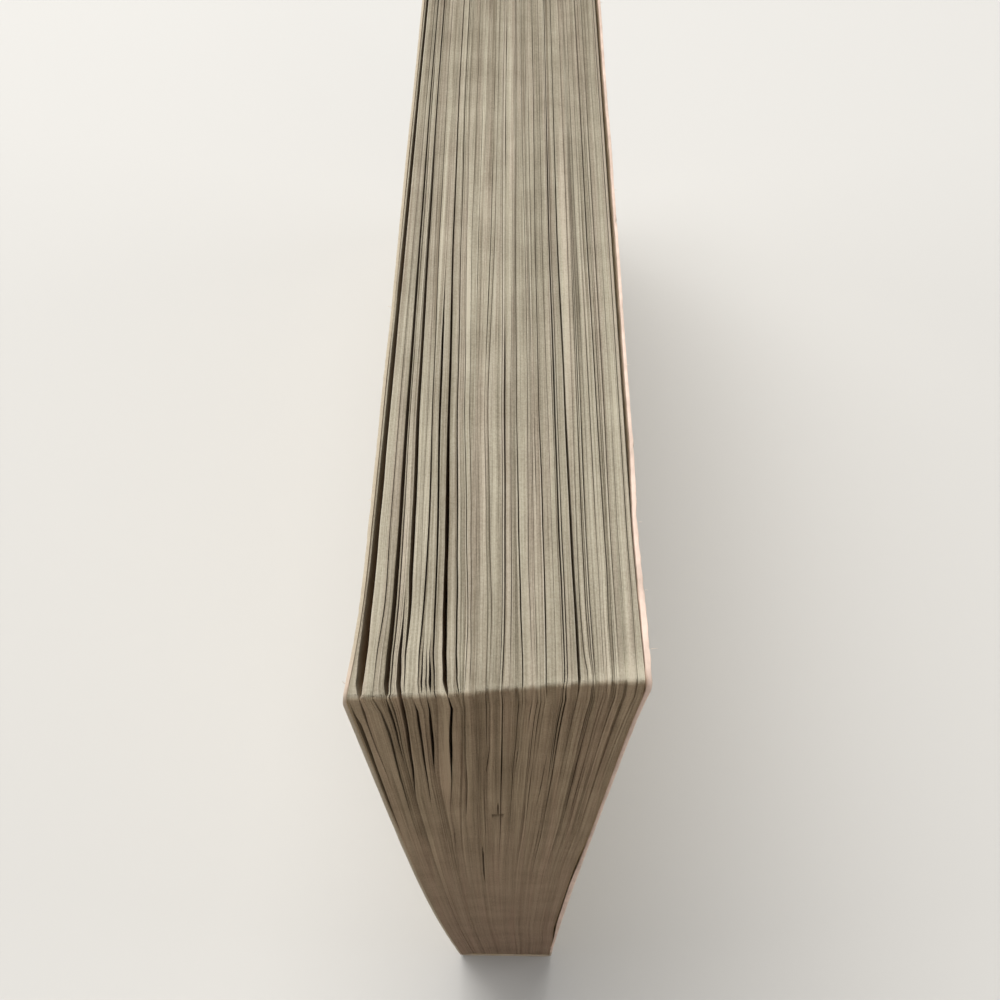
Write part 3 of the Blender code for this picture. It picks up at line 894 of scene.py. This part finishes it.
PAPER_LIGHT = (0.458, 0.420, 0.328)
PAPER_DARK = (0.190, 0.162, 0.115)
# painted warm shade deep inside the grooves and gaps between the leaves
PAPER_GAP_SHADE = (0.500, 0.320, 0.160)
PAPER_ROSE = (1.00, 0.962, 0.975)  # some groups of leaves have browned to a colder, pinker tone
# painted shade: the tail and head ends are painted darker and browner than the fore-edge
END_SHADE_TINT = (0.92, 0.80, 0.69)
END_SHADE_TINT_LOW = (0.72, 0.58, 0.53)  # painted shade: the ends are painted darker and pinker near the spine
PAGE_PALE = (0.640, 0.570, 0.420)
PAGE_BROWN = (0.470, 0.360, 0.210)
PAGE_SPECK = (0.36, 0.23, 0.10)
PAGE_FIBRE = (0.35, 0.28, 0.17)
CARD_OUTSIDE = (0.60, 0.53, 0.40), (0.70, 0.635, 0.50)
CARD_INSIDE = (0.56, 0.48, 0.33), (0.64, 0.56, 0.41)
CARD_BROWNED = (0.50, 0.415, 0.285)
CARD_SCRATCHED = (0.74, 0.67, 0.54)
CARD_CRACKED = (0.78, 0.72, 0.60)
CARD_SCUFFED = (0.80, 0.73, 0.62)
CARD_DIRTY = (0.38, 0.31, 0.21)
# raw white of the torn card, with a painted pink reflection in it
TORN_WHITE_PINK_REFLECTION = (0.52, 0.40, 0.33), (0.76, 0.60, 0.51)
TORN_BROWN = (0.38, 0.325, 0.24), (0.47, 0.41, 0.31)
GLUE = (0.42, 0.30, 0.16), (0.58, 0.45, 0.27)
LOOSE_FIBRE = (0.72, 0.60, 0.50), (0.86, 0.77, 0.68)


def leaf_edge_paper():
    """The cut edges of old wood-pulp leaves: browned, streaked along each leaf, fibrous."""
    n = Finish("leaf_edge_paper", 0.92, 0.18)
    position = n.position()
    across, y, z = n.split(position)
    grain = (across, n.attribute("run"), 1.0)
    streak = n.streaks(grain, (9000.0, 90.0, 0.0), 3.0, 0.6)
    band = n.streaks(grain, (1700.0, 22.0, 4.0))
    rose = n.streaks(grain, (1100.0, 30.0, 9.0))
    fibre = n.noise(position, 5200.0, 3.0, 0.65)
    blotch = n.noise(position, 210.0, 4.0, 0.6)
    streaks = n.plus(n.spread(streak, 0.25, 0.75, -0.31, 0.31), n.spread(band, 0.3, 0.7, -0.22, 0.22))
    lightness = n.plus(n.attribute("tone"), n.times(streaks, n.spread(z, 0.035, 0.085, 0.25, 1.0)))
    lightness = n.plus(n.plus(lightness, n.swing(fibre, 0.23)), n.swing(blotch, 0.18))
    color = n.mix(n.spread(lightness, -0.25, 1.05), PAPER_DARK, PAPER_LIGHT)
    color = n.mix(n.spread(rose, 0.45, 0.65), color, n.mix(1.0, color, PAPER_ROSE, "MULTIPLY"))
    # painted warm shade deep inside the grooves and gaps
    color = n.mix(n.spread(n.attribute("depth"), 0.0002, 0.004), color, PAPER_GAP_SHADE)
    # painted shade on the ends, darkest and pinkest near the spine
    end_shade = n.mix(n.spread(z, 0.080, 0.010), END_SHADE_TINT, END_SHADE_TINT_LOW)
    n.color(n.mix(n.attribute("end"), color, n.mix(1.0, color, end_shade, "MULTIPLY")))
    n.bump(n.plus(fibre, n.times(streak, 0.8)), 0.00006, 0.7)
    return n.material


def browned(n, position, cloud, waver, reach, most=1.0):
    """How much a sheet has browned, from its free edges inwards as far as the reach."""
    x, y, z = n.split(position)
    from_edge = n.math("MINIMUM", n.minus(HALF_HEIGHT, n.math("ABSOLUTE", y)), n.minus(WIDTH, z))
    return n.spread(n.plus(from_edge, n.swing(cloud, waver)), reach, 0.0, 0.0, most)


def page_paper():
    """The blank outermost pages: pale in the middle and browned from the edges inwards."""
    n = Finish("page_paper", 0.90, 0.20)
    position = n.position()
    cloud = n.noise(position, 60.0, 4.0, 0.6)
    speck = n.spread(n.noise(position, 420.0), 0.70, 0.78)
    fibre = n.noise(position, 3800.0, 3.0, 0.7)
    color = n.mix(browned(n, position, cloud, 0.004, 0.016), PAGE_PALE, PAGE_BROWN)
    color = n.mix(n.times(speck, 0.35), color, PAGE_SPECK)
    n.color(n.mix(n.spread(fibre, 0.3, 0.7, 0.0, 0.10), color, PAGE_FIBRE))
    n.bump(n.plus(n.times(fibre, 0.25), cloud), 0.00018, 0.5)
    return n.material


def cover_card():
    """Plain worn card: coated outside, bare inside, with raw torn fibre along the rims, the white ones with
    a painted pink reflection.
    """
    n = Finish("cover_card_finish", 0.55, 0.35)
    position = n.position()
    coated = n.attribute("coated")
    cloud = n.noise(position, 45.0, 5.0, 0.6)
    grime = n.noise(position, 260.0, 4.0, 0.65)
    fibre = n.noise(position, 3600.0, 3.0, 0.7)
    scratches = n.streaks(n.split(position), (40.0, 60.0, 900.0), 3.0, 0.6)
    beside_fold = n.math("ABSOLUTE", n.minus(n.split(position)[2], HINGE_HEIGHT))
    crack = n.times(n.spread(beside_fold, 0.0005, 0.0001), n.spread(grime, 0.42, 0.58))
    scuff = n.times(n.attribute("rub"), n.spread(grime, 0.42, 0.62))
    outside = n.clouded(cloud, CARD_OUTSIDE)
    outside = n.mix(browned(n, position, cloud, 0.006, 0.014, 0.55), outside, CARD_BROWNED)
    outside = n.mix(n.spread(scratches, 0.66, 0.74, 0.0, 0.35), outside, CARD_SCRATCHED)
    outside = n.mix(crack, outside, CARD_CRACKED)
    color = n.mix(coated, n.clouded(cloud, CARD_INSIDE), outside)
    color = n.mix(n.times(scuff, 0.6), color, CARD_SCUFFED)
    color = n.mix(n.times(n.spread(grime, 0.55, 0.30), 0.22), color, CARD_DIRTY)
    # raw white torn fibre with a painted pink reflection
    white_reflection = n.mix(n.spread(grime, 0.35, 0.65), *TORN_WHITE_PINK_REFLECTION)
    torn = n.mix(n.attribute("white_reflection"), n.clouded(fibre, TORN_BROWN), white_reflection)
    n.color(n.mix(n.attribute("rim"), color, torn))
    rough = n.plus(n.times(n.minus(1.0, coated), 0.35), n.times(scuff, 0.25))
    n.give("Roughness", n.plus(rough, 0.48, clamp=True))
    n.bump(n.plus(n.times(fibre, 0.5), grime), 0.00005, 0.6)
    return n.material


def hot_melt():
    """Aged hot-melt glue: amber, smooth and a little glossy."""
    n = Finish("hot_melt", 0.42, 0.45)
    cloud = n.noise(n.position(), 700.0, 3.0)
    n.color(n.clouded(cloud, GLUE))
    n.bump(cloud, 0.00010, 0.5)
    return n.material


def fibre_paper():
    n = Finish("loose_fibre", 0.8, 0.3)
    n.color(n.clouded(n.noise(n.position(), 1500.0), LOOSE_FIBRE))
    return n.material


def dress(thing, *materials):
    for material in materials:
        thing.data.materials.append(material)
    return thing


# How far the rims of the covers are worn away, on each side
RIM_WEAR = {FRONT: 0.00005, BACK: 0.00009}


def build_book():
    card, raw = cover_card(), fibre_paper()
    leaves = dress(leaf_block(), leaf_edge_paper(), page_paper())
    glue = dress(glue_line(), hot_melt())
    spine = dress(spine_card(), card)
    for thing, node, slot in ((leaves, "page_block", "aged_paper"), (glue, "binding_glue", "binding_glue"),
                              (spine, "spine_cover", "cover_card")):
        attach(thing, "block")
        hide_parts(node)
    for side, word in ((FRONT, "front"), (BACK, "back")):
        panel = dress(cover_panel(side, f"{word}_card", RIM_WEAR[side]), card)
        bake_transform(panel)
        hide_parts(f"{word}_cover")
        loose = dress(fibres(side, word), raw)
        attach(loose, f"{word}_cover")


# The photograph's view
CAMERA_PLACE = Vector((0.0009, -0.1181, 0.1760))
CAMERA_DOWN = math.radians(55.91)
CAMERA_YAW = math.radians(-1.49)
CAMERA_ROLL = math.radians(-0.81)
LENS = 36.5
SENSOR = 36.0


def add_camera():
    data = bpy.data.cameras.new("photo_camera")
    data.lens = LENS
    data.sensor_width = SENSOR
    data.clip_start = 0.005
    camera = place_object(data)
    turns = ((-CAMERA_YAW, "Z"), (math.pi / 2 - CAMERA_DOWN, "X"), (CAMERA_ROLL, "Z"))
    yaw, down, roll = (Matrix.Rotation(angle, 4, axis) for angle, axis in turns)
    camera.matrix_world = Matrix.Translation(CAMERA_PLACE) @ yaw @ down @ roll
    bpy.context.scene.camera = camera


# Square soft lights: name, place, height that it points to, side, power in watts and colour
LIGHTS = (
    ("soft_key", (-0.25, 0.55, 1.25), 0.08, 1.1, 26.0, (1.0, 0.98, 0.95)),
    ("low_fill", (0.35, -1.10, 0.55), 0.05, 0.9, 3.0, (1.0, 0.97, 0.94)),
    ("left_fill", (-1.5, 0.1, 0.45), 0.06, 0.8, 7.0, (1.0, 0.98, 0.96)),
    ("right_fill", (1.5, 0.1, 0.45), 0.06, 0.8, 7.0, (1.0, 0.98, 0.96)),
)
AMBIENT = (0.24, 0.24, 0.24)
BACKDROP = (0.72, 0.715, 0.70)
FLOOR_HALF = 1.7
FLOOR_SEEN = (0.56, 0.555, 0.54)
FLOOR_BOUNCE = (0.36, 0.31, 0.27)  # what the floor reflects onto the book
FADE_FROM, FADE_TO = 0.6, 1.6  # the floor turns into the backdrop between these radii


def add_light(name, place, height, side, power, color):
    data = bpy.data.lights.new(name, "AREA")
    data.size = side
    data.energy = power
    data.color = color
    lamp = place_object(data)
    lamp.location = place
    ahead = Vector((0.0, 0.0, height)) - Vector(place)
    lamp.rotation_euler = ahead.to_track_quat("-Z", "Y").to_euler()


def add_floor():
    """A plain floor that fades into the backdrop far from the book."""
    mesh = bpy.data.meshes.new("studio_floor")
    corners = [(x * FLOOR_HALF, y * FLOOR_HALF, 0.0) for x, y in ((-1, -1), (1, -1), (1, 1), (-1, 1))]
    mesh.from_pydata(corners, [], [(0, 1, 2, 3)])
    n = Finish("studio_floor", 0.95, 0.1)
    seen = n.seen()
    x, y, z = n.split(n.position())
    from_middle = n.math("SQRT", n.plus(n.times(x, x), n.times(y, y)))
    fade = n.times(n.spread(from_middle, FADE_FROM, FADE_TO), seen)
    n.color(n.mix(fade, n.mix(seen, FLOOR_BOUNCE, FLOOR_SEEN), (0.0, 0.0, 0.0)))
    n.give("Emission Color", (*BACKDROP, 1.0))
    n.give("Emission Strength", fade)
    dress(place_object(mesh), n.material)


def add_world():
    world = bpy.data.worlds.new("studio")
    n = Nodes(world)
    n.put(n.tree.nodes["Background"].inputs["Color"], n.mix(n.seen(), AMBIENT, BACKDROP))
    bpy.context.scene.world = world


bpy.context.scene.view_settings.view_transform = "Standard"
add_camera()
build_book()
add_floor()
add_world()
for light in LIGHTS:
    add_light(*light)
